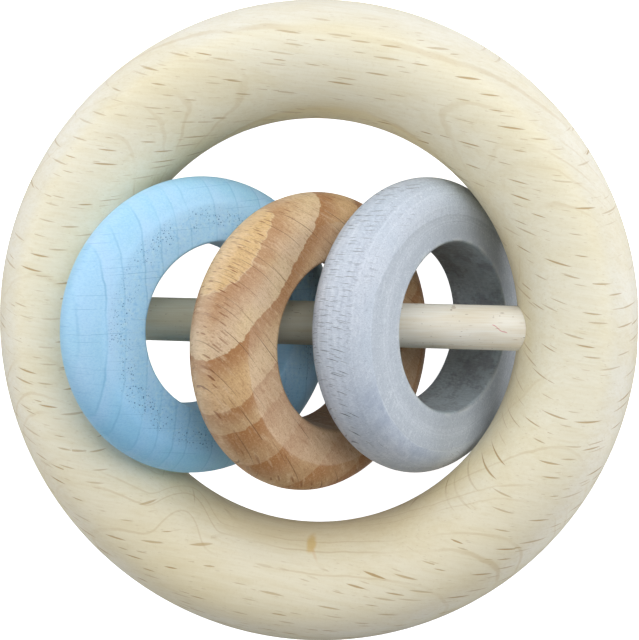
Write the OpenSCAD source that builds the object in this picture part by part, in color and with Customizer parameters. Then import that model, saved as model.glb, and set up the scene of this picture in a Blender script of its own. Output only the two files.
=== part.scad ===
// Wooden ring rattle: a round-section grip ring with a dowel across its
// opening, and three smaller loose rings threaded on the dowel. It lies flat,
// with the grip ring's axis along Z, the dowel along X and the origin at the
// centre of the grip ring.

/* [Part to show] */
// Which sub-part to draw

/* [Grip ring] */
// Outside diameter of the grip ring
grip_d = 85; // [75:1:100]
// Diameter of its round wooden section
grip_section_d = 15.2; // [13:0.2:16]

/* [Crossbar] */
// Diameter of the dowel, which is also the drill size for its two holes
bar_d = 6; // [5:0.5:7]

/* [Small rings] */
// Outside diameter of each small ring
small_d = 39.6; // [36:0.2:40]
// Diameter of the hole in each small ring
small_hole_d = 22.2; // [21.5:0.1:23]
// Thickness of a small ring across its two flat faces
small_thick = 9.3; // [8:0.1:9.4]
// Diameter at which the flat face ends and the rounded rim begins
small_face_d = 32; // [30:0.2:33]
// Radius that breaks the sharp edges of the hole
small_edge_r = 0.4; // [0.2:0.1:1]

/* [How the blue ring lies] */
// Place on the dowel where the ring's middle plane crosses it
blue_x = -13; // [-13.1:0.05:-12.9]
// Lean of the ring from standing square on the dowel, in degrees
blue_lean = 46; // [44:0.5:46.5]
// Offset of the ring's centre across the dowel
blue_side = -0.5; // [-1:0.1:0]
// Offset of the ring's centre up its own slope from the dowel
blue_rise = 1.35; // [1:0.05:1.4]

/* [How the brown ring lies] */
// Place on the dowel where the ring's middle plane crosses it
brown_x = 1.3; // [1.2:0.05:1.35]
// Lean of the ring from standing square on the dowel, in degrees
brown_lean = 40; // [38:0.5:40.5]
// Offset of the ring's centre across the dowel
brown_side = -2.3; // [-2.5:0.1:-1.5]
// Offset of the ring's centre up its own slope from the dowel
brown_rise = 0.35; // [0:0.05:0.5]

/* [How the grey ring lies] */
// Place on the dowel where the ring's middle plane crosses it
grey_x = 13.9; // [13.85:0.05:14]
// Lean of the ring from standing square on the dowel, in degrees
grey_lean = 40; // [38:0.5:40.5]
// Offset of the ring's centre across the dowel
grey_side = 0; // [-1:0.1:0.5]
// Offset of the ring's centre up its own slope from the dowel
grey_rise = -2.7; // [-2.8:0.05:-2]

/* [Colours] */
// Natural beech of the grip ring and the dowel
beech = "#EBE1C8"; // color
// Light sky-blue stain
blue_stain = "#9CCBEA"; // color
// Brown oiled wood
brown_oil = "#C49A70"; // color
// Grey wash
grey_wash = "#B4BAC6"; // color

/* [Hidden] */
$fn = 96;
square_angle = 90;
grip_mean_r = (grip_d - grip_section_d)/2;
small_r = small_d/2;
small_hole_r = small_hole_d/2;
small_face_r = small_face_d/2;
half_thick = small_thick/2;
// The rim is one arc through both edges of the flat faces and the outside.
rim_depth = small_r - small_face_r;
rim_r = (rim_depth*rim_depth + half_thick*half_thick)/(2*rim_depth);
rim_centre_r = small_r - rim_r;

module grip_section() {
    translate([grip_mean_r, 0])
        circle(d = grip_section_d);
}

// Round stock along X, long enough to run past both sides of the grip ring.
module dowel_stock() {
    rotate([0, square_angle, 0])
        cylinder(d = bar_d, h = 2*grip_d, center = true);
}

module grip_ring() {
    color(beech)
        difference() {
            rotate_extrude()
                grip_section();
            dowel_stock();
        }
}

// The dowel's ends are trimmed flush with the outside of the grip ring.
module crossbar() {
    color(beech)
        intersection() {
            dowel_stock();
            rotate_extrude() {
                grip_section();
                translate([0, -grip_section_d/2])
                    square([grip_mean_r, grip_section_d]);
            }
        }
}

module small_section() {
    intersection() {
        translate([rim_centre_r, 0])
            circle(r = rim_r);
        translate([small_face_r, -half_thick])
            square([rim_depth, small_thick]);
    }
    translate([small_hole_r + small_edge_r, -half_thick])
        square([small_face_r - small_hole_r - small_edge_r, small_thick]);
    translate([small_hole_r, small_edge_r - half_thick])
        square([small_face_r - small_hole_r, small_thick - 2*small_edge_r]);
    for (side = [-1, 1])
        translate([small_hole_r + small_edge_r, side*(half_thick - small_edge_r)])
            circle(r = small_edge_r);
}

// A small ring on the dowel: its axis leans up from the dowel's by the lean.
module threaded_ring(bar_x, lean, side, rise) {
    translate([bar_x, side, 0])
        rotate([0, square_angle - lean, 0])
            translate([-rise, 0, 0])
                rotate_extrude()
                    small_section();
}

module blue_ring() {
    color(blue_stain)
        threaded_ring(blue_x, blue_lean, blue_side, blue_rise);
}

module brown_ring() {
    color(brown_oil)
        threaded_ring(brown_x, brown_lean, brown_side, brown_rise);
}

module grey_ring() {
    color(grey_wash)
        threaded_ring(grey_x, grey_lean, grey_side, grey_rise);
}

grip_ring();
crossbar();
blue_ring();
brown_ring();
grey_ring();
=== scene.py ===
import math

import bpy
from mathutils import Matrix, Vector, noise


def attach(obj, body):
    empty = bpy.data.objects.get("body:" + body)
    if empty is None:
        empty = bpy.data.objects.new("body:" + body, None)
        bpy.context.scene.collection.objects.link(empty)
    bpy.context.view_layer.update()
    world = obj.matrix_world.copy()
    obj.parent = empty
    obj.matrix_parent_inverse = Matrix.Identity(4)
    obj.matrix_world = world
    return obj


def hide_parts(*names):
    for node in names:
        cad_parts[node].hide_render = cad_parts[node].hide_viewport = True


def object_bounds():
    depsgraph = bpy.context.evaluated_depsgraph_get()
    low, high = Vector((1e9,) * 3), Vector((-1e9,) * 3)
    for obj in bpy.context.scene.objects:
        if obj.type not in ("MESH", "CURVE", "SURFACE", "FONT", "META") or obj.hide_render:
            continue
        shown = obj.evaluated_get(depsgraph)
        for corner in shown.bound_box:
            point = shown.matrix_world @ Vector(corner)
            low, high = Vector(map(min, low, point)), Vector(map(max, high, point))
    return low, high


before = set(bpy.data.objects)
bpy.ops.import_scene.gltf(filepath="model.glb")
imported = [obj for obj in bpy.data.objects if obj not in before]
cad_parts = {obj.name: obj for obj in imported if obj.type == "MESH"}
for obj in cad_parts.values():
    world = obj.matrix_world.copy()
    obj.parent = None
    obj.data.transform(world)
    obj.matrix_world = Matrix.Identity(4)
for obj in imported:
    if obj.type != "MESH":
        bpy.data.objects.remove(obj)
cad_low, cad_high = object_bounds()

MM = 0.001
SCENE = bpy.context.scene

# ---------------------------------------------------------------- sizes, in mm
GRIP_R = 34.9          # mean radius of the grip ring
GRIP_SEC = 7.6         # radius of its section
BAR_R = 3.0            # radius of the dowel and its two holes
BAR_GAP = 0.035        # hair-line gap between dowel and hole
CAP_INSET = 0.06       # how far the dowel's ends lie inside the grip ring's outside
EDGE_INSET = 0.14      # and the edges of its ends
BAR_SLACK = 0.004      # share by which its side is slimmer still, at the middle of its unevenness
DRILL_END = 60         # the drill reaches this far both ways
RING_R = 19.8          # outside radius of a small ring
HOLE_R = 11.1          # radius of its hole
HALF_T = 4.65          # half of its thickness
FACE_R = 16.0          # where the flat face ends
EDGE_R = 0.4           # rounding of the hole's edge
RIM_DEPTH = RING_R - FACE_R
RIM_R = (RIM_DEPTH ** 2 + HALF_T ** 2) / (2 * RIM_DEPTH)
RIM_C = RING_R - RIM_R
SECTION_R = 15.0       # about the middle of its section
SANDED = 0.030         # how deep sanding leaves the surface inside the exact solid
FINE_WAVE = 0.012      # the finer part of its unevenness
BUMP = 0.05            # depth of the grain, in the materials

# name: place on the dowel, lean, side, rise
LAY = {
    "blue": (-13.0, 46.0, -0.5, 1.35),
    "brown": (1.3, 40.0, -2.3, 0.35),
    "grey": (13.9, 40.0, 0.0, -2.7),
}


# -------------------------------------------------------------------- meshes
def new_object(name, verts, faces, place=None):
    """A smooth mesh object from points in millimetres, moved into the shared frame by place."""
    mesh = bpy.data.meshes.new(name)
    mesh.from_pydata([Vector(v) * MM for v in verts], [], faces)
    if place is not None:
        mesh.transform(place)
    mesh.shade_smooth()
    mesh.update()
    ob = bpy.data.objects.new(name, mesh)
    SCENE.collection.objects.link(ob)
    return ob


def circle(count, shift=0.0):
    """The angles of count points round a full circle."""
    return [2 * math.pi * (i + shift) / count for i in range(count)]


def closed_grid(nu, nv):
    """Quads of a grid that closes on itself both ways."""
    faces = []
    for i in range(nu):
        here, there = i * nv, ((i + 1) % nu) * nv
        for j in range(nv):
            k = (j + 1) % nv
            faces.append((here + j, there + j, there + k, here + k))
    return faces


def small_profile():
    """The closed half-section of a small ring, as (radius, height) points."""
    bore_steps, edge_steps, face_steps, rim_steps = 10, 5, 12, 64
    soft, soft_from = 0.035, 3.5                         # how the rim eases into the flat face
    edge_c = HOLE_R + EDGE_R
    pts = []
    for i in range(bore_steps + 1):                      # bore, bottom to top
        pts.append((HOLE_R, (HALF_T - EDGE_R) * (2 * i / bore_steps - 1)))
    for i in range(1, edge_steps + 1):                   # top edge of the hole
        a = math.pi - math.pi / 2 * i / edge_steps
        pts.append((edge_c + EDGE_R * math.cos(a), HALF_T - EDGE_R + EDGE_R * math.sin(a)))
    for i in range(1, face_steps):                       # top face
        pts.append((edge_c + (RIM_C - HOLE_R - EDGE_R) * i / face_steps, HALF_T))
    for i in range(rim_steps + 1):                       # rim, top to bottom
        a = math.pi / 2 - math.pi * i / rim_steps
        z = RIM_R * math.sin(a)
        up = abs(z)
        if up > soft_from:
            up = -soft * math.log(math.exp(-up / soft) + math.exp(-HALF_T / soft))
        pts.append((RIM_C + RIM_R * math.cos(a), math.copysign(up, z)))
    for i in range(1, face_steps):                       # bottom face
        pts.append((RIM_C - (RIM_C - HOLE_R - EDGE_R) * i / face_steps, -HALF_T))
    for i in range(edge_steps):                          # bottom edge of the hole
        a = -math.pi / 2 - math.pi / 2 * i / edge_steps
        pts.append((edge_c + EDGE_R * math.cos(a), -HALF_T + EDGE_R + EDGE_R * math.sin(a)))
    return pts


def ring_matrix(name):
    """The frame of a small ring: its own Z is the ring's axis, its own Y is the frame's Y."""
    x, lean, side, rise = LAY[name]
    turn = Matrix.Rotation(math.radians(90 - lean), 4, "Y")
    rise = Matrix.Translation((-rise * MM, 0, 0))
    return Matrix.Translation((x * MM, side * MM, 0)) @ turn @ rise


def small_ring(colour, seed):
    """A turned ring with the faint unevenness that hand sanding leaves."""
    profile = small_profile()
    steps = circle(288)
    broad_scale, fine_scale = 0.11, 0.32                 # of the unevenness, per mm
    broad_seed = Vector((seed * 7.3, seed * 3.1, seed * 5.7))
    fine_seed = Vector((seed * 2.3, seed * 9.1, seed * 1.7))
    verts = []
    for a in steps:
        ca, sa = math.cos(a), math.sin(a)
        for r, z in profile:
            p = Vector((r * ca, r * sa, z))
            broad = noise.noise(p * broad_scale + broad_seed)
            fine = noise.noise(p * fine_scale + fine_seed)
            inward = SANDED - SANDED * broad - FINE_WAVE * fine      # always inside the exact solid
            out = Vector(((r - SECTION_R) * ca, (r - SECTION_R) * sa, z))
            out.normalize()
            verts.append(p - out * max(inward, 0.0))
    faces = closed_grid(len(steps), len(profile))
    return new_object(colour + "_ring_wood", verts, faces, ring_matrix(colour))


def torus_outside_x(y, z):
    """Where a line along X leaves the grip ring's outside."""
    radial = GRIP_R + math.sqrt(max(GRIP_SEC ** 2 - z ** 2, 0))
    return math.sqrt(radial ** 2 - y ** 2)


def crossbar_mesh():
    """The dowel: it ends flush with the grip ring's outside, with a softly broken edge."""
    r = BAR_R - BAR_GAP
    side_steps, cap_steps = 150, 9
    cap_middle, cap_spread = 0.04, 0.92                  # the caps' rows, as shares of r
    wave_along, wave_round, wave_share = 0.13, 4, 0.3
    angles = circle(72)
    nu = len(angles)
    rows = [(-1, k / cap_steps) for k in range(cap_steps)]          # end cap, centre to edge
    rows += [(0, 2 * k / side_steps - 1) for k in range(side_steps + 1)]
    rows += [(1, k / cap_steps) for k in range(cap_steps - 1, -1, -1)]
    verts = []
    for end, t in rows:
        for a in angles:
            if end:
                rr = r * (cap_middle + cap_spread * t)
                y, z = rr * math.cos(a), rr * math.sin(a)
                x = end * (torus_outside_x(y, z) - CAP_INSET)
            else:
                y, z = r * math.cos(a), r * math.sin(a)
                x = t * (torus_outside_x(y, z) - EDGE_INSET)
                place = Vector((x * wave_along, wave_round * math.cos(a), wave_round * math.sin(a)))
                wave = noise.noise(place) * FINE_WAVE
                y, z = (c * (1 - BAR_SLACK + wave * wave_share) for c in (y, z))
            verts.append((x, y, z))
    faces = []
    for k in range(len(rows) - 1):
        here, there = k * nu, (k + 1) * nu
        for i in range(nu):
            j = (i + 1) % nu
            faces.append((here + i, there + i, there + j, here + j))
    last = (len(rows) - 1) * nu
    faces.append(tuple(range(nu)))
    faces.append(tuple(last + i for i in reversed(range(nu))))
    return new_object("crossbar_dowel", verts, faces)


def drill_object():
    """The straight drill for the dowel's two holes, longer than the grip ring is wide."""
    angles = circle(96)
    seg = len(angles)
    ends = (-DRILL_END, DRILL_END)
    verts = [(x, BAR_R * math.cos(a), BAR_R * math.sin(a)) for x in ends for a in angles]
    faces = [(i, (i + 1) % seg, seg + (i + 1) % seg, seg + i) for i in range(seg)]
    faces += [tuple(reversed(range(seg))), tuple(seg + i for i in range(seg))]
    return new_object("drill", verts, faces)


def grip_mesh():
    """The grip ring with the dowel's hole drilled through both walls."""
    round_the_ring, round_the_section = circle(384, 0.5), circle(80)
    verts = []
    for a in round_the_ring:
        for b in round_the_section:
            rad = GRIP_R + GRIP_SEC * math.cos(b)
            verts.append((rad * math.cos(a), rad * math.sin(a), GRIP_SEC * math.sin(b)))
    faces = closed_grid(len(round_the_ring), len(round_the_section))
    body = new_object("grip_ring_wood", verts, faces)
    drill = drill_object()
    cut = body.modifiers.new("drill", "BOOLEAN")
    cut.operation = "DIFFERENCE"
    cut.solver = "EXACT"
    cut.object = drill
    bpy.context.view_layer.update()
    graph = bpy.context.evaluated_depsgraph_get()
    mesh = bpy.data.meshes.new_from_object(body.evaluated_get(graph))
    body.modifiers.clear()
    body.data = mesh
    bpy.data.objects.remove(drill)
    # Exact normals on the torus, so the cut leaves no shading marks round the holes.
    near = 0.03                                          # mm, more than the facets' error
    normals = [None] * len(mesh.loops)
    for poly in mesh.polygons:
        pts = [mesh.vertices[v].co / MM for v in poly.vertices]
        off_torus = [math.hypot(math.hypot(p.x, p.y) - GRIP_R, p.z) - GRIP_SEC for p in pts]
        off_hole = [math.hypot(p.y, p.z) - BAR_R for p in pts]
        on_torus = all(abs(off) < near for off in off_torus)
        in_hole = all(abs(off) < near for off in off_hole)
        for loop, p in zip(poly.loop_indices, pts):
            if in_hole:
                normal = Vector((0, -p.y, -p.z))
            elif on_torus:
                normal = p - Vector((p.x, p.y, 0)).normalized() * GRIP_R
            else:
                normal = poly.normal
            normals[loop] = tuple(Vector(normal).normalized())
    mesh.shade_smooth()
    mesh.normals_split_custom_set(normals)
    return body


# ----------------------------------------------------------------- materials
class Nodes:
    """Short calls that build a shader tree. A value is a number, a vector or another node's socket."""

    def __init__(self, material):
        material.use_nodes = True
        self.tree = material.node_tree
        self.tree.nodes.clear()

    def add(self, kind, *values, **sets):
        """A node with its first inputs set to values and its properties to sets."""
        node = self.tree.nodes.new(kind)
        for key, value in sets.items():
            setattr(node, key, value)
        for socket, value in zip(node.inputs, values):
            self.plug(socket, value)
        return node

    def plug(self, socket, value):
        if isinstance(value, bpy.types.NodeSocket):
            self.tree.links.new(value, socket)
        else:
            socket.default_value = value

    def math(self, op, *values):
        return self.add("ShaderNodeMath", *values, operation=op).outputs[0]

    def plus(self, a, b):
        return self.math("ADD", a, b)

    def minus(self, a, b):
        return self.math("SUBTRACT", a, b)

    def times(self, a, b):
        return self.math("MULTIPLY", a, b)

    def over(self, a, b):
        return self.math("DIVIDE", a, b)

    def most(self, a, b):
        return self.math("MAXIMUM", a, b)

    def size(self, a):
        """a without its sign."""
        return self.math("ABSOLUTE", a)

    def length(self, x, y):
        """The length of the vector x, y."""
        return self.math("SQRT", self.plus(self.times(x, x), self.times(y, y)))

    def sway(self, x, pattern, amount):
        """x moved to and fro by amount, as a pattern from 0 to 1 says."""
        return self.plus(x, self.times(self.minus(pattern, 0.5), amount))

    def vmath(self, op, a, b):
        node = self.add("ShaderNodeVectorMath", a, operation=op)
        self.plug(node.inputs["Scale"] if op == "SCALE" else node.inputs[1], b)
        return node.outputs["Value"] if op in ("DOT_PRODUCT", "DISTANCE") else node.outputs[0]

    def split(self, vector):
        return self.add("ShaderNodeSeparateXYZ", vector).outputs

    def join(self, x, y, z):
        return self.add("ShaderNodeCombineXYZ", x, y, z).outputs[0]

    def turned_by(self, vector, matrix):
        node = self.add("ShaderNodeVectorRotate", rotation_type="EULER_XYZ")
        self.plug(node.inputs["Vector"], vector)
        node.inputs["Rotation"].default_value = matrix.to_euler()
        return node.outputs[0]

    def cells(self, parts, cell):
        """Three coordinates, each divided by its own cell size, as one vector."""
        return self.join(*(self.over(part, size) for part, size in zip(parts, cell)))

    def noise_node(self, vector, scale, detail):
        node = self.add("ShaderNodeTexNoise")
        self.plug(node.inputs["Vector"], vector)
        node.inputs["Scale"].default_value = scale
        node.inputs["Detail"].default_value = detail
        return node

    def noise(self, vector, scale, detail=2.0, rough=0.5):
        node = self.noise_node(vector, scale, detail)
        node.inputs["Roughness"].default_value = rough
        return node.outputs[0]

    def cell_noise(self, parts, cell, detail=2.0, rough=0.5):
        """Noise whose features are about cell big along the three parts, in mm."""
        return self.noise(self.cells(parts, cell), 1.0, detail, rough)

    def noise_vector(self, vector, scale, detail=1.0):
        node = self.noise_node(vector, scale, detail)
        return self.vmath("SUBTRACT", node.outputs["Color"], (0.5, 0.5, 0.5))

    def voronoi(self, vector):
        """The Voronoi node at scale 1, and the random numbers of each of its cells."""
        node = self.add("ShaderNodeTexVoronoi")
        self.plug(node.inputs["Vector"], vector)
        node.inputs["Scale"].default_value = 1.0
        return node, self.add("ShaderNodeSeparateColor", node.outputs["Color"]).outputs

    def facing(self, direction):
        """How squarely the surface faces along or against a direction, 0 to 1."""
        normal = self.add("ShaderNodeTexCoord").outputs["Normal"]
        return self.size(self.vmath("DOT_PRODUCT", normal, direction))

    def smooth(self, x, lo, hi, to_lo=0.0, to_hi=1.0):
        """x from lo..hi, eased, to to_lo..to_hi."""
        return self.add("ShaderNodeMapRange", x, lo, hi, to_lo, to_hi,
                        interpolation_type="SMOOTHSTEP").outputs[0]

    def line(self, x, lo, hi, to_lo=0.0, to_hi=1.0):
        """x from lo..hi, in proportion, to to_lo..to_hi."""
        return self.add("ShaderNodeMapRange", x, lo, hi, to_lo, to_hi).outputs[0]

    def mix(self, amount, a, b, blend="MIX"):
        node = self.add("ShaderNodeMix", amount, data_type="RGBA", blend_type=blend)
        self.plug(node.inputs[6], a)
        self.plug(node.inputs[7], b)
        return node.outputs[2]

    def tint(self, colour, amount, rgb):
        """colour moved by amount towards an 8-bit display colour."""
        return self.mix(amount, colour, srgb(*rgb))

    def tints(self, colour, *rows):
        """Tints laid on one by one: pattern, where the tint begins, where it is full, strength, rgb."""
        for pattern, begins, full, strength, rgb in rows:
            colour = self.tint(colour, self.smooth(pattern, begins, full, 0.0, strength), rgb)
        return colour

    def marks(self, colour, shape, rnd, least, most, rgb):
        """Marks of one shape, each with its own strength between least and most."""
        return self.tint(colour, self.times(shape, self.line(rnd[2], 0, 1, least, most)), rgb)

    def shade(self, colour, amount, factors):
        """colour multiplied by three factors, by amount."""
        return self.mix(amount, colour, (*factors, 1), "MULTIPLY")


def srgb(r, g, b):
    """8-bit display colour to linear RGBA."""
    def lin(c):
        c /= 255
        return c / 12.92 if c <= 0.04045 else ((c + 0.055) / 1.055) ** 2.4
    return (lin(r), lin(g), lin(b), 1.0)


def wood(name, grain, outward, pith, warp, lay=None):
    """The common part of every wood: a solid block whose grain runs along grain, with the pith pith mm back
    against outward. lay names the small ring whose own frame the block follows.
    Returns the material, the builder, the piece's own place in mm, and the block's coordinates in mm:
    along the grain, outward, and round the pith."""
    mat = bpy.data.materials.new(name)
    n = Nodes(mat)
    mm = n.vmath("SCALE", n.add("ShaderNodeTexCoord").outputs["Object"], 1 / MM)
    if lay:
        to_ring = ring_matrix(lay).inverted()
        mm = n.vmath("ADD", n.turned_by(mm, to_ring), to_ring.translation / MM)
    w_z = Vector(grain).normalized()
    w_x = Vector(outward)
    w_x = (w_x - w_z * w_x.dot(w_z)).normalized()
    w_y = w_z.cross(w_x)
    local = n.turned_by(mm, Matrix((w_x, w_y, w_z)))
    bend = n.noise_vector(n.vmath("MULTIPLY", local, (1, 1, 0.35)), 0.07)
    x, y, z = n.split(n.vmath("ADD", local, n.vmath("SCALE", bend, warp * 4)))
    x = n.plus(x, pith)
    out = n.minus(n.length(x, y), pith)
    turned = n.times(n.math("ARCTAN2", y, x), pith)
    return mat, n, mm, (z, out, turned)


def lenses(n, block, cell, half, share, shift=0.0):
    """Ray flecks: thin sheets, pointed at both ends along the grain, as lens-shaped dashes on a surface.
    cell is their spacing along the grain, outward and round it, and half is half their size, in mm.
    Returns the strength, 0 to 1, and random numbers for each fleck."""
    place = n.cells(block, cell)
    if shift:
        place = n.vmath("ADD", place, (shift, shift * 0.7, -shift * 1.3))
    node, rnd = n.voronoi(place)
    off = n.vmath("MULTIPLY", n.vmath("SUBTRACT", place, node.outputs["Position"]), cell)
    along, deep, across = n.split(off)
    size = n.line(rnd[1], 0.0, 1.0, 0.45, 1.0)
    along = n.over(along, n.times(size, half[0]))
    deep = n.over(deep, half[1])
    across = n.over(n.size(across), n.times(n.math("SQRT", size), half[2]))
    from_middle = n.plus(n.times(along, along), n.plus(n.times(deep, deep), across))
    shape = n.smooth(from_middle, 0.55, 1.0, 1.0, 0.0)
    return n.times(shape, n.math("LESS_THAN", rnd[0], share)), rnd


def pores(n, block, along, across, radius, share, shift=0.0):
    """Fine vessels along the grain: dots on end grain, short hairs on side grain.
    along and across are their spacing in mm."""
    place = n.cells(block, (along, across, across))
    if shift:
        place = n.vmath("ADD", place, (shift, shift * 0.6, shift * 1.7))
    node, rnd = n.voronoi(place)
    size = n.line(rnd[1], 0.0, 1.0, radius * 0.5, radius)
    shape = n.smooth(n.over(node.outputs["Distance"], size), 0.5, 1.0, 1.0, 0.0)
    return n.times(shape, n.math("LESS_THAN", rnd[0], share))


def fibre(n, block, fine, long, detail=3.0):
    """Fine streaks along the grain, 0 to 1."""
    return n.cell_noise(block, (long, fine, fine), detail, 0.6)


def swell(n, mm, scale, amount):
    """The slow rise and fall that turning and sanding leave."""
    return n.times(n.noise(mm, scale, 1.0), amount)


def finish_wood(n, colour, height, rough, specular):
    """The shader, with a bump whose height is in units of BUMP."""
    bump = n.add("ShaderNodeBump")
    bump.inputs["Strength"].default_value = 1.0
    bump.inputs["Distance"].default_value = BUMP * MM
    n.plug(bump.inputs["Height"], height)
    shader = n.add("ShaderNodeBsdfPrincipled")
    n.plug(shader.inputs["Base Color"], colour)
    n.plug(shader.inputs["Roughness"], rough)
    n.plug(shader.inputs["Normal"], bump.outputs[0])
    shader.inputs["Specular IOR Level"].default_value = specular
    n.plug(n.add("ShaderNodeOutputMaterial").inputs["Surface"], shader.outputs[0])


# Growth lines of the grip ring's block: place outward in mm, half-width, strength
GRIP_LINES = [
    (-10.2, 0.40, 0.30), (-7.6, 0.15, 0.22), (-5.9, 0.13, 0.24), (-4.9, 0.12, 0.18), (-2.9, 0.13, 0.22),
    (6.0, 0.18, 0.14), (11.2, 0.15, 0.26), (13.6, 0.14, 0.26), (14.8, 0.12, 0.20),
    (17.6, 0.14, 0.26), (19.0, 0.16, 0.34), (21.8, 0.16, 0.28),
]


def beech_grip(name):
    """Raw beech, turned and waxed."""
    mat, n, mm, block = wood(name, (1.0, -0.14, 0.0), (0.0, -0.5, 0.866), 400.0, 0.35)
    z, out, turned = block
    x, y, _ = n.split(mm)
    radius = n.length(x, y)
    streak = fibre(n, block, 0.30, 5.0)
    wave = fibre(n, (n.plus(z, 40.0), out, turned), 1.1, 7.0, 1.0)
    broad = n.cell_noise(block, (26.0, 8.0, 9.0))
    big, rnd = lenses(n, block, (4.2, 8.0, 1.60), (2.05, 5.6, 0.15), 0.92)
    small, rnd2 = lenses(n, block, (3.6, 5.0, 1.6), (1.0, 2.6, 0.09), 0.5, 3.7)
    # rays met flat-on are broad pale patches, not dashes, and on end grain, at both ends of the block,
    # they are long fine lines that barely show
    edge_on = n.smooth(n.facing((0.12, -0.86, -0.496)), 0.92, 0.78)
    edge_on = n.times(edge_on, n.smooth(n.facing((0.99, -0.139, 0.0)), 0.80, 0.97, 1.0, 0.35))
    big = n.times(big, edge_on)
    small = n.times(small, edge_on)
    pore = pores(n, block, 1.6, 0.30, 0.30, 0.30)
    dust = n.noise(mm, 2.6, 2.0, 0.7)
    colour = n.tints(
        srgb(238, 234, 219),
        (broad, 0.35, 0.75, 0.55, (231, 220, 186)),
        (wave, 0.42, 0.70, 0.16, (222, 208, 168)),
        (streak, 0.45, 0.75, 0.18, (212, 197, 154)),
        (streak, 0.50, 0.25, 0.18, (250, 247, 234)),
        (dust, 0.55, 0.75, 0.16, (206, 190, 148)),
        (dust, 0.45, 0.25, 0.14, (252, 250, 240)))

    # growth lines; the layers bend round a hidden knot in the lower left of the ring
    jag = n.noise(n.join(n.over(z, 4.0), 0.0, n.over(turned, 3.0)), 1.0)
    layer_at = n.sway(out, jag, 0.7)
    bulge = n.smooth(n.size(n.plus(z, 12.0)), 0.0, 5.0, 4.0, 0.0)
    bulge = n.times(bulge, n.smooth(turned, 12.0, 17.0))
    layer_at = n.plus(layer_at, n.times(bulge, n.smooth(out, 24.5, 18.0)))
    seen = n.smooth(n.noise(mm, 0.11, 1.0), 0.38, 0.62, 0.15, 1.0)
    near_knot = n.vmath("DISTANCE", mm, (-18.0, -23.0, 5.0))
    seen = n.most(seen, n.smooth(near_knot, 12.0, 6.0))
    for place, wide, strength in GRIP_LINES:
        away = n.size(n.minus(layer_at, place))
        line = n.times(n.smooth(away, wide * 0.3, wide, strength, 0.0), seen)
        colour = n.tint(colour, line, (200, 176, 128))
    # past the lowest line the wood inside the ring is yellower
    yellow = n.times(n.smooth(layer_at, -9.9, -10.4, 0.0, 0.35), n.smooth(radius, 35.0, 32.0))
    colour = n.tint(colour, yellow, (238, 224, 178))

    colour = n.tint(colour, n.times(pore, 0.18), (170, 138, 98))
    colour = n.marks(colour, small, rnd2, 0.15, 0.50, (190, 164, 116))
    colour = n.marks(colour, big, rnd, 0.30, 0.90, (184, 156, 108))
    # painted bounce light: the inside of the ring is yellower
    colour = n.shade(colour, n.smooth(radius, 40.0, 36.5), (1.0, 0.992, 0.93))
    colour = n.shade(colour, n.smooth(radius, 29.6, 27.6), (0.98, 0.94, 0.86))
    # painted shade: low down the near side is darker and faintly pink, and painted bounce light brightens
    # its outermost edge
    low = n.smooth(y, -10.0, -27.0)
    colour = n.shade(colour, n.times(low, n.smooth(radius, 40.4, 38.2)), (0.885, 0.865, 0.83))
    colour = n.shade(colour, n.times(low, n.smooth(radius, 39.5, 41.5)), (1.12, 1.12, 1.10))
    # painted shade and painted reflection: higher up, the outside is darker and greyer
    upper_painted_shade = n.times(n.smooth(y, -14.0, -4.0), n.smooth(radius, 36.8, 38.8))
    colour = n.shade(colour, upper_painted_shade, (0.93, 0.94, 0.965))
    # a small knot on the near slope of the ring, with its tail
    knot = n.vmath("DISTANCE", n.vmath("MULTIPLY", mm, (2.0, 0.8, 0.8)), (1.9, -22.8, 3.2))
    knot = n.sway(knot, n.noise(mm, 1.3), 0.9)
    slanted = n.vmath("ADD", mm, n.join(n.times(y, 0.6), 0.0, 0.0))
    tail = n.vmath("DISTANCE", n.vmath("MULTIPLY", slanted, (2.4, 0.6, 0.6)), (-38.9, -18.0, 2.8))
    colour = n.tints(
        colour,
        (knot, 1.7, 0.6, 0.75, (208, 178, 112)),
        (tail, 1.0, 0.4, 0.4, (206, 170, 116)))

    height = n.plus(n.times(streak, 0.30), swell(n, mm, 0.16, 2.0))
    height = n.minus(height, n.times(big, 0.30))
    height = n.minus(height, n.times(pore, 0.20))
    finish_wood(n, colour, height, n.line(streak, 0.2, 0.8, 0.54, 0.70), 0.35)
    return mat


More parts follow.
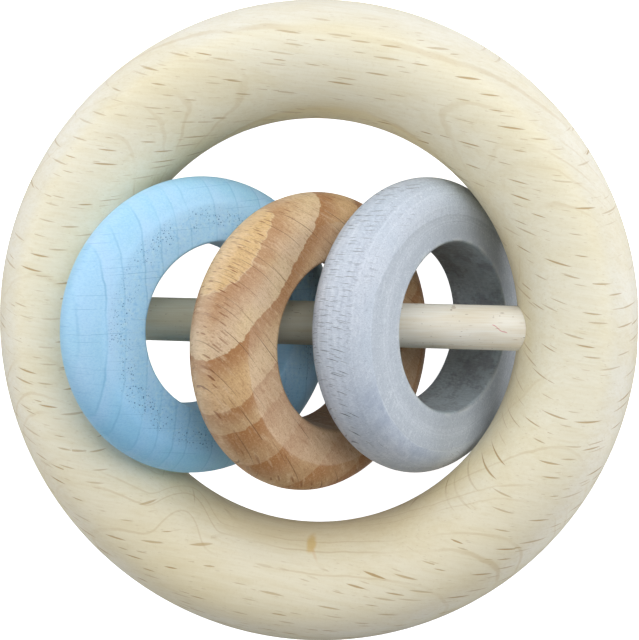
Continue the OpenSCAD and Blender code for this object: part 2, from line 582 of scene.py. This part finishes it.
def beech_dowel(name):
    """The dowel: straight, fine grain with small dark pores, a few of them longer."""
    mat, n, mm, block = wood(name, (1.0, 0.012, 0.0), (0.0, 0.35, -0.94), 60.0, 0.1)
    _, out, _ = block
    x, y, h = n.split(mm)
    streak = fibre(n, block, 0.20, 6.0)
    broad = n.cell_noise(block, (12.0, 1.6, 1.6))
    dash, rnd = lenses(n, block, (2.2, 2.0, 0.50), (0.50, 1.2, 0.055), 0.50)
    fleck, rnd2 = lenses(n, block, (1.3, 1.2, 0.42), (0.20, 0.6, 0.05), 0.45, 5.1)
    colour = n.tints(
        srgb(246, 243, 232),
        (broad, 0.35, 0.72, 1.0, (236, 227, 206)),
        (streak, 0.45, 0.75, 0.35, (218, 204, 174)),
        (streak, 0.50, 0.25, 0.40, (252, 250, 244)))
    colour = n.marks(colour, dash, rnd, 0.15, 0.6, (158, 134, 100))
    colour = n.marks(colour, fleck, rnd2, 0.2, 0.8, (140, 118, 92))
    # a short reddish fibre pressed into the wood near the right-hand end
    fibre_x, fibre_y, fibre_slope, half_fibre = 24.6, 0.05, -0.55, 0.8
    along = n.minus(x, fibre_x)
    path = n.plus(n.times(along, fibre_slope), n.times(n.math("SINE", n.times(x, 4.0)), 0.10))
    off = n.size(n.minus(n.minus(y, fibre_y), path))
    thread = n.times(n.smooth(off, 0.02, 0.09, 1.0, 0.0), n.math("GREATER_THAN", h, 1.0))
    thread = n.times(thread, n.smooth(n.size(along), half_fibre, 1.05, 0.75, 0.0))
    colour = n.tint(colour, thread, (206, 96, 104))
    # painted shade: the dowel is darker along the part of it that the rings shade
    painted_shade_and_pale_face = n.times(n.smooth(x, 12.5, 7.0), n.smooth(x, -36.0, -30.0))
    colour = n.shade(colour, painted_shade_and_pale_face, (0.74, 0.76, 0.69))
    # end grain at both ends: darker, with growth lines and fine pores
    ends = n.smooth(n.size(x), 41.2, 41.8)
    colour = n.shade(colour, ends, (0.90, 0.84, 0.73))
    arcs = n.smooth(n.math("SINE", n.times(out, 4.4)), 0.55, 0.98, 0.0, 0.32)
    colour = n.tint(colour, n.times(ends, arcs), (170, 136, 90))
    pore = pores(n, block, 1.6, 0.26, 0.36, 0.55)
    colour = n.tint(colour, n.times(ends, n.times(pore, 0.55)), (132, 102, 68))

    height = n.plus(n.times(streak, 0.35), swell(n, mm, 0.3, 0.8))
    height = n.minus(height, n.times(n.plus(dash, fleck), 0.3))
    finish_wood(n, colour, height, n.line(streak, 0.2, 0.8, 0.50, 0.64), 0.35)
    return mat


def ring_place(n, mm):
    """A small ring's own radius and height above its middle plane, in mm."""
    x, y, z = n.split(mm)
    return n.length(x, y), n.size(z)


# Growth lines of the blue ring's block: place outward in mm, strength, how much paler just past it
BLUE_LINES = [
    (-18.9, 0.35, 0.25), (-16.2, 0.50, 0.50), (-13.9, 0.30, 0.20), (-11.0, 0.38, 0.35),
    (-8.7, 0.38, 0.25), (-6.5, 0.32, 0.30), (-4.6, 0.30, 0.15), (-0.8, 0.28, 0.30), (2.6, 0.30, 0.20),
    (6.4, 0.34, 0.35), (9.9, 0.30, 0.25), (13.6, 0.34, 0.35), (17.2, 0.30, 0.25),
]


def blue_stain(name):
    """Light blue stain that lets the growth lines, the rays and the pores of the end grain through."""
    mat, n, mm, block = wood(name, (0.0, 0.0, 1.0), (1.0, 0.0, 0.0), 110.0, 0.12, "blue")
    z, out, turned = block
    r, h = ring_place(n, mm)
    _, y, _ = n.split(mm)
    streak = fibre(n, block, 0.22, 1.8)
    mottle = n.cell_noise(block, (0.9, 0.40, 0.30), 2.0, 0.65)
    broad = n.noise(mm, 0.11)
    ray, rnd = lenses(n, block, (4.2, 8.0, 0.9), (2.6, 4.6, 0.06), 0.80)
    # pits gather in a band round the face, in patches
    pit = pores(n, block, 1.1, 0.36, 0.36, 0.55)
    small_pit = pores(n, block, 0.8, 0.24, 0.30, 0.45, 4.3)
    zone = n.times(n.smooth(r, 12.7, 13.6), n.smooth(r, 16.4, 15.2))
    zone = n.times(n.smooth(h, 4.2, 4.5), zone)
    zone = n.times(zone, n.smooth(n.noise(mm, 0.34), 0.36, 0.54))
    pit = n.times(n.most(pit, n.times(small_pit, 0.8)), zone)
    # the stain has a fine orange-peel on the face
    peel = n.noise(n.vmath("MULTIPLY", mm, (1.0, 1.0, 0.5)), 1.7, 2.0, 0.6)
    on_face = n.times(n.smooth(h, 4.3, 4.6), n.smooth(r, 15.8, 14.6, 0.15, 1.0))
    # a few scuffs on the lower left of the rim
    slanted = (n.plus(z, n.times(turned, 0.8)), out, turned)
    scuff, _ = lenses(n, slanted, (2.0, 5.0, 0.8), (0.7, 3.0, 0.05), 0.5, 2.2)
    scuff = n.times(scuff, n.smooth(n.vmath("DISTANCE", mm, (-16.0, -9.9, 3.9)), 2.6, 1.4))

    colour = n.tints(
        srgb(158, 212, 241),
        (broad, 0.3, 0.7, 1.0, (170, 215, 246)),
        (h, 4.25, 4.60, 0.75, (174, 222, 255)))
    layer_at = n.sway(out, n.cell_noise(block, (5.0, 9.0, 3.0)), 0.7)
    pale = 0.0
    line = 0.0
    for place, strength, after in BLUE_LINES:
        past = n.minus(layer_at, place)
        line = n.most(n.smooth(n.size(past), 0.03, 0.17, strength, 0.0), line)
        pale = n.most(n.times(n.smooth(past, 0.0, 0.3), n.smooth(past, 0.3, 2.2, after, 0.0)), pale)
    patches = n.noise(n.vmath("ADD", mm, (9.0, 4.0, 2.0)), 0.14, 1.0)
    line = n.times(line, n.smooth(patches, 0.36, 0.6, 0.35, 1.0))
    line = n.times(line, n.smooth(h, 1.0, 3.8, 0.12, 1.0))
    colour = n.tint(colour, pale, (188, 220, 252))
    colour = n.tints(
        colour,
        (streak, 0.42, 0.72, 0.28, (134, 190, 230)),
        (streak, 0.50, 0.25, 0.28, (184, 226, 248)),
        (mottle, 0.58, 0.78, 0.30, (200, 234, 250)),
        (mottle, 0.42, 0.24, 0.22, (122, 182, 230)))
    colour = n.tint(colour, line, (112, 170, 214))
    colour = n.marks(colour, ray, rnd, 0.15, 0.6, (110, 168, 212))
    colour = n.tint(colour, n.times(on_face, n.smooth(peel, 0.52, 0.72, 0.0, 0.35)), (206, 236, 250))
    colour = n.tint(colour, n.times(on_face, n.smooth(peel, 0.46, 0.28, 0.0, 0.35)), (116, 182, 234))
    colour = n.tint(colour, n.times(pit, 0.85), (52, 108, 176))
    colour = n.tint(colour, n.times(scuff, 0.6), (220, 240, 250))
    # the lower part of the ring is darker and bluer
    colour = n.shade(colour, n.smooth(y, -2.0, -13.0), (0.80, 0.93, 1.0))

    height = n.plus(n.times(streak, 0.30), swell(n, mm, 0.22, 2.6))
    height = n.minus(height, n.times(pit, 0.9))
    height = n.minus(height, n.times(n.plus(line, ray), 0.25))
    height = n.plus(height, n.times(n.plus(mottle, n.times(on_face, peel)), 0.35))
    finish_wood(n, colour, height, n.line(streak, 0.2, 0.8, 0.42, 0.58), 0.45)
    return mat


# Growth layers of the brown ring: where each begins, outward in mm, how far it fades and how dark it begins
BROWN_LAYERS = [
    (-18.0, 3.6, 0.75), (-13.2, 4.2, 1.00), (-7.2, 3.2, 0.95), (-4.1, 4.5, 1.00),
    (1.2, 5.0, 1.00), (8.0, 5.0, 0.95), (13.0, 4.0, 0.75), (17.0, 4.0, 0.9),
]


def brown_oil(name):
    """Oiled wood, cut across its grain: scalloped growth layers, dark rays and a fine golden glitter."""
    mat, n, mm, block = wood(name, (0.0, 0.0, 1.0), (0.77, -0.64, 0.0), 75.0, 0.12, "brown")
    r, h = ring_place(n, mm)
    _, y, _ = n.split(mm)
    streak = fibre(n, block, 0.16, 1.6)
    glitter = n.cell_noise(block, (0.5, 0.26, 0.20), 2.0, 0.7)
    hatch = n.cell_noise(block, (0.9, 1.5, 0.17), 2.0, 0.6)
    smear = n.cell_noise(block, (2.0, 2.6, 0.6), 3.0, 0.6)
    broad = n.noise(mm, 0.10)
    ray, rnd = lenses(n, block, (5.0, 7.0, 1.5), (3.2, 4.4, 0.075), 0.85)
    dash, dash_rnd = lenses(n, block, (1.9, 1.9, 0.85), (0.90, 1.3, 0.16), 0.90, 6.1)
    dash = n.times(dash, n.smooth(r, 17.4, 18.8))

    at = n.sway(block[1], n.cell_noise(block, (2.2, 4.0, 1.1), 3.0, 0.65), 1.1)
    at = n.sway(at, n.cell_noise(block, (9.0, 9.0, 6.0), 1.0), 1.6)
    dark = 0.0
    for begins, fades, amount in BROWN_LAYERS:
        past = n.minus(at, begins)
        shade = n.times(n.smooth(past, -0.04, 0.10), n.smooth(past, 0.3, fades, amount, 0.0))
        dark = n.most(shade, dark)

    colour = n.tints(srgb(214, 190, 150), (broad, 0.40, 0.62, 1.0, (210, 184, 154)))
    # past the first border and between the second and the third the wood is golden, less so on the face
    second = n.times(n.smooth(at, -13.2, -12.4), n.smooth(at, -6.0, -7.6, 0.0, 0.7))
    gold = n.most(n.smooth(at, -17.9, -18.2), second)
    face_r = n.sway(r, n.noise(mm, 0.5, 3.0, 0.6), 0.5)
    face = n.times(n.smooth(face_r, 15.85, 15.6), n.smooth(h, 4.2, 4.4))
    gold = n.times(gold, n.line(face, 0, 1, 1.0, 0.3))
    golden = n.tints(srgb(214, 180, 126), (at, -17.0, -15.0, 1.0, (208, 166, 112)))
    colour = n.mix(n.times(gold, 0.85), colour, golden)
    colour = n.tint(colour, dark, (168, 120, 76))
    colour = n.tint(colour, n.smooth(at, -9.5, -2.0, 0.0, 0.60), (168, 118, 74))
    # the turned face is paler than the rim, most of all on the lower left
    painted_shade_and_pale_face = n.times(face, n.smooth(y, 8.0, -6.0, 0.08, 0.50))
    colour = n.tint(colour, painted_shade_and_pale_face, (212, 186, 158))
    colour = n.tints(
        colour,
        (smear, 0.52, 0.72, 0.40, (226, 202, 170)),
        (smear, 0.46, 0.28, 0.38, (164, 116, 76)),
        (hatch, 0.55, 0.74, 0.45, (150, 106, 70)),
        (hatch, 0.42, 0.24, 0.16, (236, 212, 182)),
        (streak, 0.45, 0.75, 0.35, (160, 114, 74)),
        (glitter, 0.52, 0.72, 0.24, (240, 212, 166)),
        (glitter, 0.46, 0.30, 0.34, (146, 100, 60)))
    colour = n.marks(colour, ray, rnd, 0.30, 1.0, (112, 78, 52))
    colour = n.marks(colour, dash, dash_rnd, 0.30, 1.0, (138, 88, 52))
    # painted shade darkens the bore
    colour = n.shade(colour, n.smooth(r, 11.7, 11.2), (0.72, 0.72, 0.72))
    # painted light: a pale sheen lies on the outermost part of the rim
    colour = n.tint(colour, n.smooth(r, 19.3, 19.8, 0.0, 0.22), (228, 210, 184))

    height = n.plus(n.times(streak, 0.4), swell(n, mm, 0.2, 2.0))
    height = n.minus(height, n.times(n.plus(dash, ray), 0.4))
    height = n.plus(height, n.times(n.minus(glitter, hatch), 0.35))
    finish_wood(n, colour, height, n.line(glitter, 0.3, 0.75, 0.58, 0.38), 0.4)
    return mat


def grey_wash(name):
    """Thin bluish-grey wash over end grain, with open hair-line cracks on the rim and worn hole edges."""
    mat, n, mm, block = wood(name, (0.0, 0.0, 1.0), (1.0, -0.25, 0.0), 50.0, 0.3, "grey")
    r, h = ring_place(n, mm)
    x, y, h_side = n.split(mm)
    streak = fibre(n, block, 0.18, 1.4)
    speck = n.cell_noise(block, (0.55, 0.26, 0.26), 2.0, 0.7)
    brush = n.cell_noise(block, (0.5, 0.45, 1.6), 3.0, 0.65)
    broad = n.noise(mm, 0.10, 3.0)
    crack, rnd = lenses(n, block, (2.4, 2.2, 0.62), (1.15, 1.8, 0.055), 0.90)
    crack = n.times(crack, n.smooth(r, 18.5, 19.2))
    # cracks follow the rays, so there are none where the rim faces across them
    across = n.over(n.size(n.vmath("DOT_PRODUCT", mm, (0.243, 0.970, 0.0))), r)
    crack = n.times(crack, n.smooth(across, 0.93, 0.80))
    crack2, rnd2 = lenses(n, block, (1.1, 0.9, 0.45), (0.40, 0.6, 0.045), 0.45, 3.3)
    patches = n.smooth(n.noise(mm, 0.2, 1.0), 0.45, 0.6)
    crack2 = n.times(crack2, n.times(n.smooth(r, 15.2, 16.6), patches))
    fine = pores(n, block, 1.0, 0.30, 0.34, 0.40)
    bore = n.smooth(r, 11.6, 11.15)

    colour = n.tints(srgb(188, 200, 214), (broad, 0.3, 0.7, 1.0, (204, 212, 224)))
    # the turned face starts at a crease, which lies nearer the hole at the top
    face_r = n.plus(r, n.times(n.most(n.minus(y, 5.0), 0.0), 0.15))
    face_r = n.sway(face_r, n.noise(mm, 0.5, 3.0, 0.6), 0.45)
    face = n.times(n.smooth(face_r, 16.35, 16.15), n.smooth(h, 4.2, 4.4))
    colour = n.tint(colour, n.times(face, 0.80), (178, 188, 200))
    # faint turning bands, brush marks, and the grain showing through
    lathe = n.noise(n.join(n.over(r, 0.45), n.over(h, 0.45), n.noise(mm, 0.08, 1.0)), 1.0)
    colour = n.tints(
        colour,
        (lathe, 0.52, 0.72, 0.30, (222, 229, 240)),
        (lathe, 0.46, 0.28, 0.28, (170, 180, 196)),
        (brush, 0.52, 0.74, 0.40, (168, 178, 194)),
        (brush, 0.46, 0.26, 0.35, (226, 232, 240)),
        (streak, 0.42, 0.72, 0.35, (160, 170, 186)),
        (streak, 0.50, 0.25, 0.35, (224, 230, 238)),
        (speck, 0.58, 0.74, 0.40, (234, 239, 244)),
        (speck, 0.42, 0.26, 0.40, (128, 140, 158)))
    colour = n.tint(colour, n.times(fine, 0.28), (116, 128, 148))
    colour = n.marks(colour, crack, rnd, 0.45, 1.0, (62, 64, 72))
    colour = n.marks(colour, crack2, rnd2, 0.2, 0.7, (96, 104, 120))
    # low on the left the rim is dappled darker up to the crease, which gets a painted highlight
    dapple = n.cell_noise((x, y, h_side), (1.5, 1.7, 1.7), 4.0, 0.75)
    lower_left = n.times(n.smooth(y, -4.0, -8.5), n.smooth(x, 1.0, -6.0))
    lower_left = n.times(lower_left, n.smooth(face_r, 16.15, 16.35))
    dappled = n.times(lower_left, n.smooth(face_r, 19.2, 16.6, 0.35, 1.0))
    colour = n.tint(colour, n.times(dappled, n.smooth(dapple, 0.34, 0.66, 0.10, 0.62)), (150, 163, 188))
    colour = n.tint(colour, n.times(dappled, n.smooth(dapple, 0.62, 0.74, 0.0, 0.30)), (112, 122, 140))
    # painted highlight along the crease
    crease_highlight = n.smooth(n.size(n.minus(face_r, 16.2)), 0.0, 0.13, 1.0, 0.0)
    crease_highlight = n.times(crease_highlight, n.smooth(y, -3.0, -7.0))
    crease_highlight = n.times(crease_highlight, n.smooth(n.noise(mm, 0.7), 0.38, 0.60, 0.08, 0.42))
    colour = n.tint(colour, crease_highlight, (222, 230, 238))
    # painted shade darkens the rim low down, the wash is worn at the hole's edge, and painted light
    # brightens the top
    low = n.times(n.smooth(y, -8.0, -14.0), n.smooth(face_r, 16.6, 18.6))
    colour = n.shade(colour, low, (0.88, 0.86, 0.84))
    edge = n.times(n.smooth(r, 12.0, 11.3), n.smooth(h, 4.1, 4.6))
    worn = n.times(edge, n.smooth(n.noise(mm, 0.6, 3.0), 0.4, 0.6))
    colour = n.tint(colour, n.times(worn, 0.5), (222, 228, 230))
    # painted light: the top of the ring is brighter
    top_painted_light = n.times(n.smooth(y, 12.0, 18.0), n.smooth(x, -8.0, 0.0))
    colour = n.shade(colour, top_painted_light, (1.14, 1.17, 1.20))
    # painted shade darkens the bore, which has darker stains, a haze of dust in patches and painted light
    # on its lower side
    colour = n.shade(colour, bore, (0.60, 0.64, 0.62))
    stain = n.times(bore, n.smooth(n.noise(mm, 0.30, 4.0, 0.65), 0.46, 0.58))
    colour = n.shade(colour, stain, (0.74, 0.71, 0.72))
    dust_and_painted_light = n.smooth(n.noise(mm, 0.35, 3.0, 0.6), 0.42, 0.62)
    dust_and_painted_light = n.times(bore, n.most(dust_and_painted_light, n.smooth(y, -5.0, -9.0)))
    colour = n.tint(colour, n.times(dust_and_painted_light, n.smooth(speck, 0.45, 0.7, 0.1, 0.7)), (176, 190, 196))

    height = n.plus(n.times(streak, 0.4), swell(n, mm, 0.2, 2.4))
    height = n.minus(height, n.times(n.most(crack, crack2), 0.9))
    height = n.plus(height, n.times(n.minus(speck, brush), 0.4))
    finish_wood(n, colour, height, n.line(streak, 0.2, 0.8, 0.46, 0.62), 0.4)
    return mat


# -------------------------------------------------------------------- pieces
grip = grip_mesh()
grip.data.materials.clear()
grip.data.materials.append(beech_grip("beech_grip"))
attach(grip, "grip")
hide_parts("grip_ring")

bar = crossbar_mesh()
bar.data.materials.append(beech_dowel("beech_dowel"))
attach(bar, "grip")
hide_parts("crossbar")

RINGS = [("blue", blue_stain, "blue_stained_wood"),
         ("brown", brown_oil, "brown_oiled_wood"),
         ("grey", grey_wash, "grey_washed_wood")]
for seed, (colour, look, slot) in enumerate(RINGS, 1):
    ring = small_ring(colour, seed)
    ring.data.materials.append(look(colour + "_wood"))
    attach(ring, colour)
    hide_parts(colour + "_ring")


# --------------------------------------------------------------------- stage
def floor_plane():
    """A pale floor that lights nothing, casts no shadow and is too bright to show one."""
    half_width, gap = 3000, 0.06                          # mm, and its distance below the toy
    z = cad_low.z / MM - gap
    corners = [(x * half_width, y * half_width, z) for x, y in ((-1, -1), (1, -1), (1, 1), (-1, 1))]
    ob = new_object("floor", corners, [(0, 1, 2, 3)])
    mat = bpy.data.materials.new("floor_white")
    n = Nodes(mat)
    shader = n.add("ShaderNodeBsdfPrincipled")
    shader.inputs["Base Color"].default_value = (0.9, 0.9, 0.9, 1)
    shader.inputs["Roughness"].default_value = 0.9
    shader.inputs["Emission Color"].default_value = (1, 1, 1, 1)
    shader.inputs["Emission Strength"].default_value = 1.0
    # from below the floor lets the eye through, so the underside of the toy can be looked at
    from_below = n.add("ShaderNodeNewGeometry").outputs["Backfacing"]
    clear = n.add("ShaderNodeBsdfTransparent").outputs[0]
    both = n.add("ShaderNodeMixShader", from_below, shader.outputs[0], clear)
    n.plug(n.add("ShaderNodeOutputMaterial").inputs["Surface"], both.outputs[0])
    ob.data.materials.append(mat)
    ob.visible_diffuse = False
    ob.visible_glossy = False
    ob.visible_shadow = False


floor_plane()

LIGHT_DISTANCE = 0.6   # metres, like the two sizes
BOX_SIZE = 0.4
UNDER_SIZE = 1.5       # for the ones below the toy

# name, side it comes from (degrees round from +X), height in degrees, watts, colour
LIGHTS = [
    ("right_wall", 0, 4, 1.85, (1, 1, 1)),
    ("far_right_wall", 45, 4, 0.55, (1, 1, 1)),
    ("far_left_wall", 135, 4, 1.2, (1, 1, 1)),
    ("left_box", 180, 20, 1.05, (1, 1, 1)),
    ("far_box", 90, 20, 0.9, (1, 1, 1)),
    ("key_box", 45, 45, 1.6, (1, 1, 1)),
    ("near_box", 225, 45, 1.1, (1, 1, 1)),
    ("top_box", 90, 68, 0.95, (1, 1, 1)),
    ("under_fill", 0, -90, 1.2, (1.0, 0.9, 0.8)),
    ("under_box", 0, -89, 1.3, (1.0, 0.98, 0.95)),
]


def soft_light(name, side, height, power, colour):
    """A square softbox aimed at the object."""
    data = bpy.data.lights.new(name, "AREA")
    data.shape = "SQUARE"
    data.size = UNDER_SIZE if height < 0 else BOX_SIZE
    data.energy = power
    data.color = colour
    ob = bpy.data.objects.new(name, data)
    SCENE.collection.objects.link(ob)
    side, height = math.radians(side), math.radians(height)
    flat = math.cos(height)
    d = Vector((flat * math.cos(side), flat * math.sin(side), math.sin(height))).normalized()
    ob.location = d * LIGHT_DISTANCE
    ob.rotation_euler = d.to_track_quat("Z", "Y").to_euler()
    ob.visible_camera = False


for light in LIGHTS:
    soft_light(*light)

# The backdrop is white to the camera and lights nothing, so all light is the softboxes'.
world = bpy.data.worlds.new("studio")
SCENE.world = world
world.use_nodes = True
background = world.node_tree.nodes["Background"]
background.inputs["Color"].default_value = (1, 1, 1, 1)
background.inputs["Strength"].default_value = 1.0
world.cycles_visibility.diffuse = False
world.cycles_visibility.glossy = False

# -------------------------------------------------------------------- camera
# It looks down from above the grip ring, a little towards +X and +Y from its middle.
CAMERA_AT = Vector((13.92, 9.86, 112.82)) * MM
CAMERA_RIGHT = Vector((0.9965, 0.0194, -0.0813))
CAMERA_BACK = Vector((0.0805, 0.0416, 0.9959))

cam_data = bpy.data.cameras.new("camera")
cam = bpy.data.objects.new("camera", cam_data)
SCENE.collection.objects.link(cam)
cam_data.sensor_fit = "VERTICAL"
cam_data.sensor_height = 24.0
cam_data.lens = 31.875
cam_data.shift_x = -0.0453
cam_data.shift_y = -0.0542
cam_data.clip_start = 0.005
cam_data.clip_end = 20.0
right = CAMERA_RIGHT.normalized()
back = CAMERA_BACK.normalized()
up = back.cross(right).normalized()
right = up.cross(back)
rot = Matrix((right, up, back)).transposed()
cam.matrix_world = Matrix.Translation(CAMERA_AT) @ rot.to_4x4()
SCENE.camera = cam

SCENE.view_settings.view_transform = "Standard"
SCENE.view_settings.look = "None"
SCENE.view_settings.exposure = 0.0
SCENE.view_settings.gamma = 1.0
